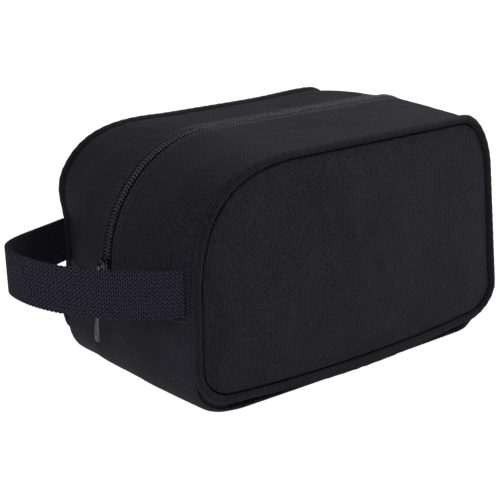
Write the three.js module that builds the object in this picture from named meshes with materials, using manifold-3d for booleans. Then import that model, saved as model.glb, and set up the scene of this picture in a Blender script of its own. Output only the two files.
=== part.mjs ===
// Soft zipped wash bag: two flat panels, a gusset all round, corded seams, a coil zip and a webbing loop.
// Millimetres, +Z up. The bag's length runs along X, the front panel faces -Y and the floor is z = 0.
import * as THREE from 'three';
import { mergeVertices } from 'three/addons/utils/BufferGeometryUtils.js';
import Module from 'manifold-3d';

// ---- overall sizes -------------------------------------------------------------------------
const HALF_DEPTH = 84; // seam line to the middle plane
const SEAM_LOW = 13.5; // height of the corded seam above the floor, at its low corners
const SEAM_BOW = 7.5; // how far the seam's bottom edge sags between them
const BOW_FADE = 22; // the sag dies out over this height
const SEAM_HIGH = 168;
const TOP_HIGH = 175; // height of the zip line
const SEAM_LEFT_FOOT = -141.5;
const SEAM_LEFT_HEAD = -139;
const SEAM_RIGHT_FOOT = 143;
const SEAM_RIGHT_HEAD = 127.5;
const END_LEFT = -154; // the end face where the zip runs down it
const END_RIGHT_FOOT = 150;
const END_RIGHT_HEAD = 137;
const SPLIT_HIGH = 78; // the zip strips start here, the lower ends stop here

// ---- cloth ---------------------------------------------------------------------------------
const CANVAS = 1.2;
const LINING = 0.5;
const GAP = 0.3;
const PANEL_CROWN = 7;
const FLAT_SHARE = 0.88; // share of the bottom's half depth that lies flat on the floor

// ---- corded seam ---------------------------------------------------------------------------
const PIPING_RADIUS = 3;
const PIPING_SKIN = 0.7;
const CORD_RADIUS = 2;
const BINDING_START = 4;
const BINDING_END = 12;
const BINDING_THICK = 1.6;

// ---- zip -----------------------------------------------------------------------------------
const ARC_RADIUS = 86; // the zip line's bend over the left corner
const ARC_X = END_LEFT + ARC_RADIUS;
const ARC_Z = TOP_HIGH - ARC_RADIUS;
const ZIP_SLOT = 4.2; // the folded cloth edges stop here, either side of the middle
const TAPE_EDGE = 0.7;
const TAPE_OUTER = 14;
const TAPE_THICK = 0.6;
const COIL_OUTER = 3.6;
const COIL_HIGH = 1;
const COIL_LOW = -1.2;
const TAPE_HIGH = -1.5;
const STOP_LENGTH = 3;

// ---- handle --------------------------------------------------------------------------------
const WEB_WIDTH = 31;
const WEB_THICK = 2.4;
const LOOP_REACH = 78;
const LOOP_ROOT_X = -142;
const LOOP_ROOT_Y = 81; // the band goes into the seam just inside the cord
const LOOP_ROOT_Z = 91;
const LOOP_RISE = 6; // the loop's far end stands this much higher than its sewn ends
const LOOP_POWER = 2.3;
const LOOP_START_X = -160.5; // the moving loop begins here
const SEWN_START_X = -147;
const SEWN_END_X = -151; // the sewn ends stop short of the loop, which turns past them

// ---- slider and pull -----------------------------------------------------------------------
const SLIDER_LENGTH = 12;
const SLIDER_WIDTH = 8.6;
const SLIDER_TOP = 1.7;
const SLIDER_BOTTOM = -2.9;
const SLIDER_PLATE = 1.1;
const BRIDGE_WIDTH = 3;
const BRIDGE_LENGTH = 8;
const BRIDGE_THICK = 1.1;
const PIVOT_RISE = 4.5; // the pull's bar above the zip line
const SLIDER_REST = THREE.MathUtils.degToRad(2); // how far up the bend the slider stops
const PULL_LENGTH = 54;
const PULL_WIDTH = 6.6;
const PULL_THICK = 1.5;
const PULL_BAR = 1.3;

const ROUND = 0.5523; // makes a cubic corner follow a quarter ellipse
const FULL = 0.7; // makes it fuller

const canvas = { color: 0x1d1b21, roughness: 0.92, metalness: 0 };
const piping = { color: 0x18161b, roughness: 0.9, metalness: 0 };
const lining = { color: 0x17171a, roughness: 0.55, metalness: 0 };
const tape = { color: 0x121214, roughness: 0.8, metalness: 0 };
const nylon = { color: 0x101012, roughness: 0.35, metalness: 0 };
const webbing = { color: 0x24212a, roughness: 0.9, metalness: 0 };
const plated = { color: 0x1a1a1d, roughness: 0.3, metalness: 1 };
const cordage = { color: 0xd8d4c8, roughness: 0.9, metalness: 0 };

const bag = new THREE.Group();
bag.name = 'wash_bag';

// Adds one named solid, turned so that its faces look outwards.
function addSolid(parent, name, geometry, finish) {
  const mesh = new THREE.Mesh(faceOutwards(geometry), new THREE.MeshStandardMaterial(finish));
  mesh.name = name;
  parent.add(mesh);
  return mesh;
}

function weld(geometry) {
  const bare = geometry.clone();
  bare.deleteAttribute('normal');
  bare.deleteAttribute('uv');
  return mergeVertices(bare, 1e-4);
}

function faceOutwards(shape) {
  const geometry = weld(shape);
  const index = Array.from(geometry.index.array);
  const position = geometry.attributes.position;
  const a = new THREE.Vector3();
  const b = new THREE.Vector3();
  const c = new THREE.Vector3();
  let volume = 0;
  for (let i = 0; i < index.length; i += 3) {
    a.fromBufferAttribute(position, index[i]);
    b.fromBufferAttribute(position, index[i + 1]);
    c.fromBufferAttribute(position, index[i + 2]);
    volume += a.dot(b.cross(c));
  }
  if (volume < 0) {
    index.reverse();
    geometry.setIndex(index);
  }
  geometry.computeVertexNormals();
  return geometry;
}

function indexed(points, index) {
  const geometry = new THREE.BufferGeometry();
  geometry.setFromPoints(points);
  geometry.setIndex(index);
  return geometry;
}

// ---- outlines ------------------------------------------------------------------------------
// Walks round an outline from the left end's split, over the top, down to the right end's split
// and back along the bottom. Both outlines take the same steps, so their points answer each other.
// Each corner lists how far it reaches back along the edge before it and on along the edge after it,
// and the bow is how far the bottom edge sags between the low corners.
const STEPS = { leftHigh: 2, topLeft: 12, top: 6, topRight: 6, rightHigh: 3 };
const LOW_STEPS = { rightLow: 2, lowRight: 5, bottom: 8, lowLeft: 5, leftLow: 2 };
const UPPER_COUNT = Object.values(STEPS).reduce((sum, n) => sum + n, 0);
const LOOP_COUNT = Object.values(LOW_STEPS).reduce((sum, n) => sum + n, UPPER_COUNT);

function cornerPoints(before, corner, after, [reachIn, reachOut, fullness], steps) {
  const inward = corner.clone().sub(before).normalize();
  const outward = after.clone().sub(corner).normalize();
  const start = corner.clone().addScaledVector(inward, -reachIn);
  const end = corner.clone().addScaledVector(outward, reachOut);
  const curve = new THREE.CubicBezierCurve(
    start,
    start.clone().addScaledVector(inward, reachIn * fullness),
    end.clone().addScaledVector(outward, -reachOut * fullness),
    end,
  );
  return curve.getPoints(steps);
}

function outline(corners, reaches, bow) {
  const [topLeft, topRight, lowRight, lowLeft] = corners;
  const onEdge = (low, high) => {
    const share = (SPLIT_HIGH - low.y) / (high.y - low.y);
    return low.clone().lerp(high, share);
  };
  const leftSplit = onEdge(lowLeft, topLeft);
  const rightSplit = onEdge(lowRight, topRight);
  const arcs = [
    cornerPoints(lowLeft, topLeft, topRight, reaches[0], STEPS.topLeft),
    cornerPoints(topLeft, topRight, lowRight, reaches[1], STEPS.topRight),
    cornerPoints(topRight, lowRight, lowLeft, reaches[2], LOW_STEPS.lowRight),
    cornerPoints(lowRight, lowLeft, topLeft, reaches[3], LOW_STEPS.lowLeft),
  ];
  const points = [leftSplit];
  const straight = (to, steps) => {
    const from = points[points.length - 1].clone();
    for (let i = 1; i <= steps; i += 1) {
      points.push(from.clone().lerp(to, i / steps));
    }
  };
  const bend = (arc) => points.push(...arc.slice(1));
  straight(arcs[0][0], STEPS.leftHigh);
  bend(arcs[0]);
  straight(arcs[1][0], STEPS.top);
  bend(arcs[1]);
  straight(rightSplit, STEPS.rightHigh);
  straight(arcs[2][0], LOW_STEPS.rightLow);
  bend(arcs[2]);
  straight(arcs[3][0], LOW_STEPS.bottom);
  bend(arcs[3]);
  straight(leftSplit, LOW_STEPS.leftLow);
  points.pop();
  const middle = (lowLeft.x + lowRight.x) / 2;
  const half = (lowRight.x - lowLeft.x) / 2;
  for (const spot of points) {
    const inwards = Math.max(0, 1 - ((spot.x - middle) / half) ** 2);
    const near = THREE.MathUtils.clamp(1 - (spot.y - lowLeft.y) / BOW_FADE, 0, 1);
    spot.y -= bow * inwards * near;
  }
  return points;
}

function point(x, z) {
  return new THREE.Vector2(x, z);
}

const seamOutline = outline(
  [
    point(SEAM_LEFT_HEAD, SEAM_HIGH),
    point(SEAM_RIGHT_HEAD, SEAM_HIGH),
    point(SEAM_RIGHT_FOOT, SEAM_LOW),
    point(SEAM_LEFT_FOOT, SEAM_LOW),
  ],
  [[86, 84, FULL], [24, 40, ROUND], [22, 30, ROUND], [26, 24, ROUND]],
  SEAM_BOW,
);
const middleOutline = outline(
  [
    point(END_LEFT, TOP_HIGH),
    point(END_RIGHT_HEAD, TOP_HIGH),
    point(END_RIGHT_FOOT, 0),
    point(END_LEFT, 0),
  ],
  [[ARC_RADIUS, ARC_RADIUS, ROUND], [34, 40, ROUND], [34, 38, ROUND], [38, 34, ROUND]],
  0,
);

// How square the gusset's cross-section is: 0 on the ends and the top, 1 on the bottom.
function squareness(step) {
  const start = UPPER_COUNT + LOW_STEPS.rightLow;
  const flat = start + LOW_STEPS.lowRight;
  const flatEnd = flat + LOW_STEPS.bottom;
  const end = flatEnd + LOW_STEPS.lowLeft;
  if (step <= start || step >= end) {
    return 0;
  }
  if (step < flat) {
    return THREE.MathUtils.smoothstep(step, start, flat);
  }
  if (step <= flatEnd) {
    return 1;
  }
  return 1 - THREE.MathUtils.smoothstep(step, flatEnd, end);
}

function crown(share, square) {
  const across = Math.abs(share);
  const round = 1 - across * across;
  const edge = Math.max(0, (across - FLAT_SHARE) / (1 - FLAT_SHARE));
  const full = Math.sqrt(Math.max(0, 1 - edge * edge));
  return round * (1 - square) + full * square;
}

// A point of the gusset's outer face, at a step round the outline and a depth y.
function gussetPoint(step, y) {
  const i = (step + LOOP_COUNT) % LOOP_COUNT;
  const rise = crown(y / HALF_DEPTH, squareness(i));
  const flat = seamOutline[i].clone().lerp(middleOutline[i], rise);
  return new THREE.Vector3(flat.x, y, flat.y);
}

function gussetNormal(step, y) {
  const ahead = gussetPoint(step + 1, y);
  const behind = gussetPoint(step - 1, y);
  const along = ahead.sub(behind).normalize();
  return new THREE.Vector3(-along.z, 0, along.x);
}

// ---- solids from sections ------------------------------------------------------------------
function sweep(sections, closed) {
  const count = sections.length;
  const size = sections[0].length;
  const index = [];
  const quad = (a, b, c, d) => index.push(a, b, c, a, c, d);
  const spans = closed ? count : count - 1;
  for (let i = 0; i < spans; i += 1) {
    const here = i * size;
    const next = ((i + 1) % count) * size;
    for (let k = 0; k < size; k += 1) {
      const l = (k + 1) % size;
      if (k < size / 2) {
        quad(here + k, here + l, next + l, next + k);
      } else {
        quad(here + l, next + l, next + k, here + k); // the far face's creases match the near face's
      }
    }
  }
  if (!closed) {
    const last = (count - 1) * size;
    for (let j = 0; j < size / 2 - 1; j += 1) {
      const far = size - 1 - j;
      quad(j, far, far - 1, j + 1);
      quad(last + j, last + j + 1, last + far - 1, last + far);
    }
  }
  return indexed(sections.flat(), index);
}

// A strip of gusset cloth between two steps: depths lists y across it, rises gives its two faces.
function gussetStrip(first, last, depths, high, low, trim = 0) {
  const sections = [];
  for (let step = first; step <= last; step += 1) {
    const place = (y, rise) => {
      const spot = gussetPoint(step, y).addScaledVector(gussetNormal(step, y), rise);
      if (step === first || step === last) {
        spot.z += trim;
      }
      return spot;
    };
    const outer = depths.map((y) => place(y, high));
    const inner = depths.map((y) => place(y, low)).reverse();
    sections.push([...outer, ...inner]);
  }
  return sweep(sections, false);
}

// The seam outline moved outwards (or inwards when negative) in its own plane.
function offsetSeam(distance) {
  return seamOutline.map((spot, i) => {
    const ahead = seamOutline[(i + 1) % LOOP_COUNT];
    const behind = seamOutline[(i + LOOP_COUNT - 1) % LOOP_COUNT];
    const along = ahead.clone().sub(behind).normalize();
    return point(spot.x - along.y * distance, spot.y + along.x * distance);
  });
}

// A crowned panel: rings that shrink towards the middle, with a front and a back face.
function pillow(side, rimInset, level, thickness, crownHigh, shares) {
  const rim = offsetSeam(-rimInset);
  const middle = point((SEAM_LEFT_HEAD + SEAM_RIGHT_HEAD) / 2, (SEAM_LOW + SEAM_HIGH) / 2);
  const points = [];
  const layers = [level, level - thickness];
  for (const layer of layers) {
    for (const share of shares) {
      const y = side * (layer + crownHigh * (1 - share ** 2.5));
      rim.forEach((spot) => {
        const flat = middle.clone().lerp(spot, share);
        points.push(new THREE.Vector3(flat.x, y, flat.y));
      });
    }
    points.push(new THREE.Vector3(middle.x, side * (layer + crownHigh), middle.y));
  }
  const ring = LOOP_COUNT;
  const layerSize = shares.length * ring + 1;
  const index = [];
  const quad = (a, b, c, d) => index.push(a, b, c, a, c, d);
  for (let i = 0; i < ring; i += 1) {
    const j = (i + 1) % ring;
    for (let k = 0; k < shares.length - 1; k += 1) {
      const low = k * ring;
      const high = low + ring;
      quad(low + i, low + j, high + j, high + i);
      quad(layerSize + low + j, layerSize + low + i, layerSize + high + i, layerSize + high + j);
    }
    const last = (shares.length - 1) * ring;
    index.push(last + i, last + j, layerSize - 1);
    index.push(layerSize + last + j, layerSize + last + i, 2 * layerSize - 1);
    quad(j, i, layerSize + i, layerSize + j);
  }
  return indexed(points, index);
}

// A closed ring round the seam outline with a fixed section of [outwards, frontwards] pairs.
function seamRing(side, section) {
  const sections = seamOutline.map((spot, i) => {
    const ahead = seamOutline[(i + 1) % LOOP_COUNT];
    const behind = seamOutline[(i + LOOP_COUNT - 1) % LOOP_COUNT];
    const along = ahead.clone().sub(behind).normalize();
    return section.map(([out, front]) => new THREE.Vector3(
      spot.x - along.y * out,
      side * (HALF_DEPTH + front),
      spot.y + along.x * out,
    ));
  });
  return sweep(sections, true);
}

function arcSection(radius, from, to, steps) {
  return Array.from({ length: steps + 1 }, (unused, i) => {
    const angle = THREE.MathUtils.degToRad(from + ((to - from) * i) / steps);
    return [radius * Math.cos(angle), radius * Math.sin(angle)];
  });
}

const coverSection = [
  ...arcSection(PIPING_RADIUS, -105, 195, 7),
  ...arcSection(PIPING_RADIUS - PIPING_SKIN, 195, -105, 7),
];
const cordSection = arcSection(CORD_RADIUS, 0, 300, 5);
const bindingSection = [
  [BINDING_START, BINDING_THICK / 2],
  [BINDING_END, BINDING_THICK / 2],
  [BINDING_END, -BINDING_THICK / 2],
  [BINDING_START, -BINDING_THICK / 2],
].map(([reach, half]) => {
  const slant = Math.SQRT1_2;
  return [(-reach + half) * slant, (-reach - half) * slant];
});

// ---- the two halves of the bag either side of the zip --------------------------------------
const edge = HALF_DEPTH - PIPING_RADIUS - GAP;
const halves = { front: -1, rear: 1 };
for (const [name, side] of Object.entries(halves)) {
  const half = new THREE.Group();
  half.name = `${name}_half`;
  const inset = PIPING_RADIUS + GAP;
  const backing = HALF_DEPTH + 1 - CANVAS - GAP;
  const panelShape = pillow(side, inset, HALF_DEPTH + 1, CANVAS, PANEL_CROWN, [1, 0.9, 0.6]);
  addSolid(half, `${name}_panel`, panelShape, canvas);
  const innerShape = pillow(side, inset, backing, LINING, PANEL_CROWN, [1, 0.9, 0.6]);
  addSolid(half, `${name}_panel_lining`, innerShape, lining);
  addSolid(half, `${name}_piping_cover`, seamRing(side, coverSection), piping);
  addSolid(half, `${name}_piping_cord`, seamRing(side, cordSection), cordage);
  addSolid(half, `${name}_seam_binding`, seamRing(side, bindingSection), tape);
  const strip = (depths, high, low, first = 0, last = UPPER_COUNT) => (
    gussetStrip(first, last, depths.map((y) => side * y), high, low, GAP)
  );
  const across = [edge, 60, 40, 19, ZIP_SLOT];
  addSolid(half, `${name}_zip_gusset`, strip(across, 0, -CANVAS), canvas);
  const inner = [edge, 60, 40, 19];
  const innerHigh = -CANVAS - GAP;
  addSolid(half, `${name}_gusset_lining`, strip(inner, innerHigh, innerHigh - LINING), lining);
  const tapeShape = strip([TAPE_OUTER, TAPE_EDGE], TAPE_HIGH, TAPE_HIGH - TAPE_THICK);
  addSolid(half, `${name}_zip_tape`, tapeShape, tape);
  const coilShape = strip([COIL_OUTER, TAPE_EDGE], COIL_HIGH, COIL_LOW, 1, UPPER_COUNT - 1);
  addSolid(half, `${name}_coil`, coilShape, nylon);
  bag.add(half);
}

// ---- the bottom and the lower ends ---------------------------------------------------------
const fullDepths = [-edge, -78, -73, -40, 0, 40, 73, 78, edge];
const lowest = (depths, high, low) => (
  gussetStrip(UPPER_COUNT, LOOP_COUNT, depths, high, low, -GAP)
);
addSolid(bag, 'bottom_gusset', lowest(fullDepths, 0, -CANVAS), canvas);
addSolid(bag, 'bottom_lining', lowest(fullDepths, -CANVAS - GAP, -CANVAS - GAP - LINING), lining);

// ---- solids cut and joined with booleans ---------------------------------------------------
const wasm = await Module();
wasm.setup();

function toManifold(geometry) {
  const merged = weld(geometry);
  return new wasm.Manifold(new wasm.Mesh({
    numProp: 3,
    vertProperties: new Float32Array(merged.attributes.position.array),
    triVerts: new Uint32Array(merged.index.array),
  }));
}

function fromManifold(solid) {
  const mesh = solid.getMesh();
  const geometry = new THREE.BufferGeometry();
  geometry.setAttribute('position', new THREE.Float32BufferAttribute(mesh.vertProperties, 3));
  geometry.setIndex(Array.from(mesh.triVerts));
  return geometry;
}

function extrude(shape, depth, steps = 4) {
  const options = { depth, bevelEnabled: false, curveSegments: steps };
  return new THREE.ExtrudeGeometry(shape, options);
}

function box(x, y, z) {
  const shape = new THREE.Shape();
  shape.moveTo(-x / 2, -y / 2);
  shape.lineTo(x / 2, -y / 2);
  shape.lineTo(x / 2, y / 2);
  shape.lineTo(-x / 2, y / 2);
  return extrude(shape, z).translate(0, 0, -z / 2);
}

function roundedPlate(length, width, radius, thickness) {
  const shape = new THREE.Shape();
  const x = length / 2;
  const y = width / 2;
  shape.moveTo(-x + radius, -y);
  shape.lineTo(x - radius, -y);
  shape.absarc(x - radius, -y + radius, radius, -Math.PI / 2, 0, false);
  shape.lineTo(x, y - radius);
  shape.absarc(x - radius, y - radius, radius, 0, Math.PI / 2, false);
  shape.lineTo(-x + radius, y);
  shape.absarc(-x + radius, y - radius, radius, Math.PI / 2, Math.PI, false);
  shape.lineTo(-x, -y + radius);
  shape.absarc(-x + radius, -y + radius, radius, Math.PI, Math.PI * 1.5, false);
  return extrude(shape, thickness, 3);
}

// ---- end stops of the zip ------------------------------------------------------------------
for (const [name, side] of Object.entries(halves)) {
  const stop = box(COIL_HIGH - COIL_LOW, COIL_OUTER - TAPE_EDGE, STOP_LENGTH);
  const mesh = addSolid(bag, `${name}_top_stop`, stop, plated);
  const across = (side * (COIL_OUTER + TAPE_EDGE)) / 2;
  mesh.position.set(END_LEFT - (COIL_HIGH + COIL_LOW) / 2, across, SPLIT_HIGH + 2.2);
}
const endLean = Math.atan2(END_RIGHT_FOOT - END_RIGHT_HEAD, TOP_HIGH);
const bottomStop = addSolid(
  bag,
  'bottom_stop',
  box(COIL_HIGH - COIL_LOW, 2 * COIL_OUTER, STOP_LENGTH),
  plated,
);
const stopRise = SPLIT_HIGH + 2.5;
const stopX = THREE.MathUtils.mapLinear(stopRise, 0, TOP_HIGH, END_RIGHT_FOOT, END_RIGHT_HEAD);
bottomStop.position.set(stopX, 0, stopRise);
bottomStop.rotation.set(0, -endLean, 0);

// ---- slider and pull: built lying flat, x along the zip, z away from the bag ----------------
function arch(length, height, thickness, width) {
  const shape = new THREE.Shape();
  const x = length / 2;
  shape.moveTo(-x, 0);
  shape.lineTo(-x, height - 2);
  shape.quadraticCurveTo(-x, height, -x + 2, height);
  shape.lineTo(x - 2, height);
  shape.quadraticCurveTo(x, height, x, height - 2);
  shape.lineTo(x, 0);
  shape.lineTo(x - thickness, 0);
  shape.lineTo(x - thickness, height - thickness);
  shape.lineTo(-x + thickness, height - thickness);
  shape.lineTo(-x + thickness, 0);
  const solid = extrude(shape, width, 3);
  return solid.rotateX(Math.PI / 2).translate(0, width / 2, 0);
}

const plateTop = SLIDER_TOP + SLIDER_PLATE;
const bridgeHigh = PIVOT_RISE + PULL_BAR / 2 + GAP + BRIDGE_THICK - plateTop + 0.2;
const sliderParts = [
  roundedPlate(SLIDER_LENGTH, SLIDER_WIDTH, 2.4, SLIDER_PLATE).translate(0, 0, SLIDER_TOP),
  roundedPlate(SLIDER_LENGTH, SLIDER_WIDTH, 2.4, 1).translate(0, 0, SLIDER_BOTTOM - 1),
  box(2.6, 0.8, plateTop - SLIDER_BOTTOM + 0.6).translate(
    -SLIDER_LENGTH / 2 + 2.2,
    0,
    (plateTop + SLIDER_BOTTOM - 0.6) / 2,
  ),
  arch(BRIDGE_LENGTH, bridgeHigh + 0.2, BRIDGE_THICK, BRIDGE_WIDTH).translate(0, 0, plateTop - 0.2),
];
const sliderSolid = sliderParts.map(toManifold).reduce((whole, piece) => whole.add(piece));

function pullShape() {
  const shape = new THREE.Shape();
  const half = PULL_WIDTH / 2;
  const head = PULL_BAR / 2;
  const neck = 2.6;
  shape.moveTo(head, -half + 1);
  shape.lineTo(head, half - 1);
  shape.quadraticCurveTo(head, half, head - 0.8, half);
  shape.lineTo(-7, half);
  shape.quadraticCurveTo(-10, half, -13, neck);
  shape.lineTo(-PULL_LENGTH + 8, neck + 0.2);
  shape.quadraticCurveTo(-PULL_LENGTH + 4, neck + 0.9, -PULL_LENGTH + 3, neck + 0.9);
  shape.quadraticCurveTo(-PULL_LENGTH, neck + 0.9, -PULL_LENGTH, 0);
  shape.quadraticCurveTo(-PULL_LENGTH, -neck - 0.9, -PULL_LENGTH + 3, -neck - 0.9);
  shape.quadraticCurveTo(-PULL_LENGTH + 4, -neck - 0.9, -PULL_LENGTH + 8, -neck - 0.2);
  shape.lineTo(-13, -neck);
  shape.quadraticCurveTo(-10, -half, -7, -half);
  shape.lineTo(head - 0.8, -half);
  shape.quadraticCurveTo(head, -half, head, -half + 1);
  const eye = new THREE.Path();
  const inner = BRIDGE_WIDTH / 2 + GAP;
  eye.moveTo(-PULL_BAR / 2, -inner);
  eye.lineTo(-PULL_BAR / 2, inner);
  eye.lineTo(-6.2, inner);
  eye.lineTo(-6.2, -inner);
  shape.holes.push(eye);
  return shape;
}

const pullSolid = toManifold(extrude(pullShape(), PULL_THICK, 3).translate(0, 0, -PULL_THICK / 2));

const carriage = new THREE.Group();
carriage.name = 'slider_assembly';
carriage.position.set(
  ARC_X - ARC_RADIUS * Math.cos(SLIDER_REST),
  0,
  ARC_Z + ARC_RADIUS * Math.sin(SLIDER_REST),
);
carriage.rotation.set(0, SLIDER_REST - Math.PI / 2, 0);
addSolid(carriage, 'slider', fromManifold(sliderSolid), plated);
const pull = addSolid(carriage, 'pull_tab', fromManifold(pullSolid), plated);
pull.position.set(0, 0, PIVOT_RISE);
pull.rotation.set(0, -SLIDER_REST, 0); // it hangs straight down
bag.add(carriage);

// ---- webbing loop --------------------------------------------------------------------------
function loopCentre(share) {
  const out = LOOP_REACH * (1 - Math.abs(share) ** LOOP_POWER);
  const rise = LOOP_RISE * (out / LOOP_REACH) ** 2;
  return new THREE.Vector3(LOOP_ROOT_X - out, LOOP_ROOT_Y * share, LOOP_ROOT_Z + rise);
}

function webbingRun(from, to, steps) {
  const sections = [];
  for (let i = 0; i <= steps; i += 1) {
    const share = from + ((to - from) * i) / steps;
    const centre = loopCentre(share);
    const along = loopCentre(share + 0.002).sub(loopCentre(share - 0.002));
    const out = new THREE.Vector3(-along.y, along.x, 0).normalize();
    const corner = (across, high) => (
      centre.clone().addScaledVector(out, (across * WEB_THICK) / 2).setZ(centre.z + high)
    );
    const half = WEB_WIDTH / 2;
    sections.push([corner(1, half), corner(1, -half), corner(-1, -half), corner(-1, half)]);
  }
  return sweep(sections, false);
}

function shareAt(x) {
  return (1 - (LOOP_ROOT_X - x) / LOOP_REACH) ** (1 / LOOP_POWER);
}

const loopShare = shareAt(LOOP_START_X);
const sewnStart = shareAt(SEWN_START_X);
const sewnEnd = shareAt(SEWN_END_X);
addSolid(bag, 'handle_webbing', webbingRun(-loopShare, loopShare, 24), webbing);
for (const [name, side] of Object.entries(halves)) {
  const run = webbingRun(side * sewnStart, side * sewnEnd, 3);
  addSolid(bag, `${name}_handle_end`, run, webbing);
}

export default bag;
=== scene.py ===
"""Looks of a zipped canvas wash bag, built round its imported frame.

The classes keep their sizes in millimetres. Meshes are in metres, +Z up, and the front panel faces -Y.
"""
import enum
import logging
import math
from dataclasses import dataclass, field
from typing import Any, Optional

import bmesh
import bpy
import numpy as np
from bpy.types import Material, Node, NodeSocket, NodeTree, Object
from mathutils import Matrix, Vector


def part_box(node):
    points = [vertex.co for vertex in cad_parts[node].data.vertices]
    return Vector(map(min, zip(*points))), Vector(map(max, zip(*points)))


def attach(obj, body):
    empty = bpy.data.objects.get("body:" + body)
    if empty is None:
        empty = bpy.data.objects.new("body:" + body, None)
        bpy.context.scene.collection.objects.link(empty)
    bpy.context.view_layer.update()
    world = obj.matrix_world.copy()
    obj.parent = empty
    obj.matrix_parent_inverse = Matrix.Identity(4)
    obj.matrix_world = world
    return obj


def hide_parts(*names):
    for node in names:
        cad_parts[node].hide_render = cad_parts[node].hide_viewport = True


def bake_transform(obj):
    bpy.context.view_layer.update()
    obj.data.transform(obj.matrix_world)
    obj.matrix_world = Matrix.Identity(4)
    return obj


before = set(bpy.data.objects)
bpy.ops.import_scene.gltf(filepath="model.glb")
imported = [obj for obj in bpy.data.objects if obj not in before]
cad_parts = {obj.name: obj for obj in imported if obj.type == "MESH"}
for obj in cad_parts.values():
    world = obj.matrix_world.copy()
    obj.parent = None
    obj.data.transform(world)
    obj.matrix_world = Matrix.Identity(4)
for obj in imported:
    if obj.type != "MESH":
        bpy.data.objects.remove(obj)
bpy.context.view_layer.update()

Array = np.ndarray
NodePair = tuple[Node, Node]
MM = 0.001
LOG = logging.getLogger("wash_bag")

# Where cloth would start to leave the lower shell, and where it would fully follow the other body. Only the
# bodies' names are read: pieces on them are baked where they stand.
MOUTH = (0, 0, 108.0 * MM), (0, 0, 172.0 * MM)
BLENDS = {"front_half": MOUTH, "rear_half": MOUTH, "handle": ((-146 * MM, 0, 0), (-185 * MM, 0, 0))}

# Each finish's material slot. Thread has none of its own and goes with the tape. Only the finishes' names
# are read, to make one material each.
SLOTS = {
    "canvas": "canvas", "bias": "piping_canvas", "lining": "lining", "tape": "tape", "webbing": "webbing",
    "cord": "piping_cord", "nylon": "coil", "thread": "tape", "zinc": "zip_metal"}

# How far both faces of a gusset's lining lie from the outer face of the cloth.
LINING_LEVELS = (-1.9, -2.4)


class Side(enum.Enum):
    """The two halves of the bag either side of the zip."""

    FRONT = -1
    REAR = 1

    @property
    def word(self) -> str:
        """The half's name as it stands in the frame's nodes."""
        return self.name.lower()

    @property
    def body(self) -> str:
        """The frame's body for this half."""
        return f"{self.word}_half"


def linear(colour: str) -> tuple[float, float, float, float]:
    """Turns an sRGB hex colour into linear red, green, blue and alpha.

    Args:
        colour: Six hex digits after a #.

    Returns:
        The linear colour with an alpha of 1.
    """
    shares = [int(colour[i:i + 2], 16) / 255 for i in (1, 3, 5)]
    low, high = 12.92, 2.4
    red, green, blue = (s / low if s <= 0.04045 else ((s + 0.055) / 1.055) ** high for s in shares)
    return red, green, blue, 1.0


def smooth(value: Any, low: float, high: float) -> Any:
    """Rises smoothly from 0 at low to 1 at high, which may be the smaller of the two."""
    share = np.clip((value - low) / (high - low), 0.0, 1.0)
    return share * share * (3 - 2 * share)


def groove(gap: Array, drop: float = 3.4, floor: float = 0.7, shoulder: float = 1.6) -> Array:
    """How far cloth dives beside the piping, at distances from the piping's face."""
    share = 1 - np.clip((gap - floor) / shoulder, 0.0, 1.0)
    return drop * (1 - np.sqrt(1 - share ** 2))


# Distances from the seam, close enough together to follow the cloth's dive beside the piping.
LIP = np.array([1.0, 0.0, -0.7, -0.75, -0.95, -1.25, -1.6, -2.0, -2.6, -4.0])


def unit(ways: Array) -> Array:
    """The same directions with a length of 1."""
    return ways / np.linalg.norm(ways, axis=-1, keepdims=True)


def around(count: int) -> Array:
    """Evenly spaced angles of a full turn."""
    return np.arange(count) * math.tau / count


def boxed(wave: Array, power: float) -> Array:
    """Swells a cosine or sine, so that a round becomes a box with soft corners."""
    return np.sign(wave) * np.abs(wave) ** power


def walked(line: Array) -> Array:
    """Distance walked along a line at each of its points."""
    return np.concatenate([[0.0], np.cumsum(np.linalg.norm(np.diff(line, axis=0), axis=1))])


def read_off(at: Array, run: Array, line: Array) -> Array:
    """Points of a line, or other values kept along it, at the given distances."""
    return np.stack([np.interp(at, run, column) for column in line.T], axis=-1)


def spread(across: Array, along: Array) -> Array:
    """Cloth coordinates of a grid, from those of its columns and its rows."""
    return np.stack(np.broadcast_arrays(across[None], along[:, None]), axis=-1)


def place_object(name: str, data: Any) -> Object:
    """Adds an object to the scene.

    Args:
        name: Its name.
        data: Its mesh, light or camera.

    Returns:
        The object.
    """
    made = bpy.data.objects.new(name, data)
    bpy.context.scene.collection.objects.link(made)
    return made


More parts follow.
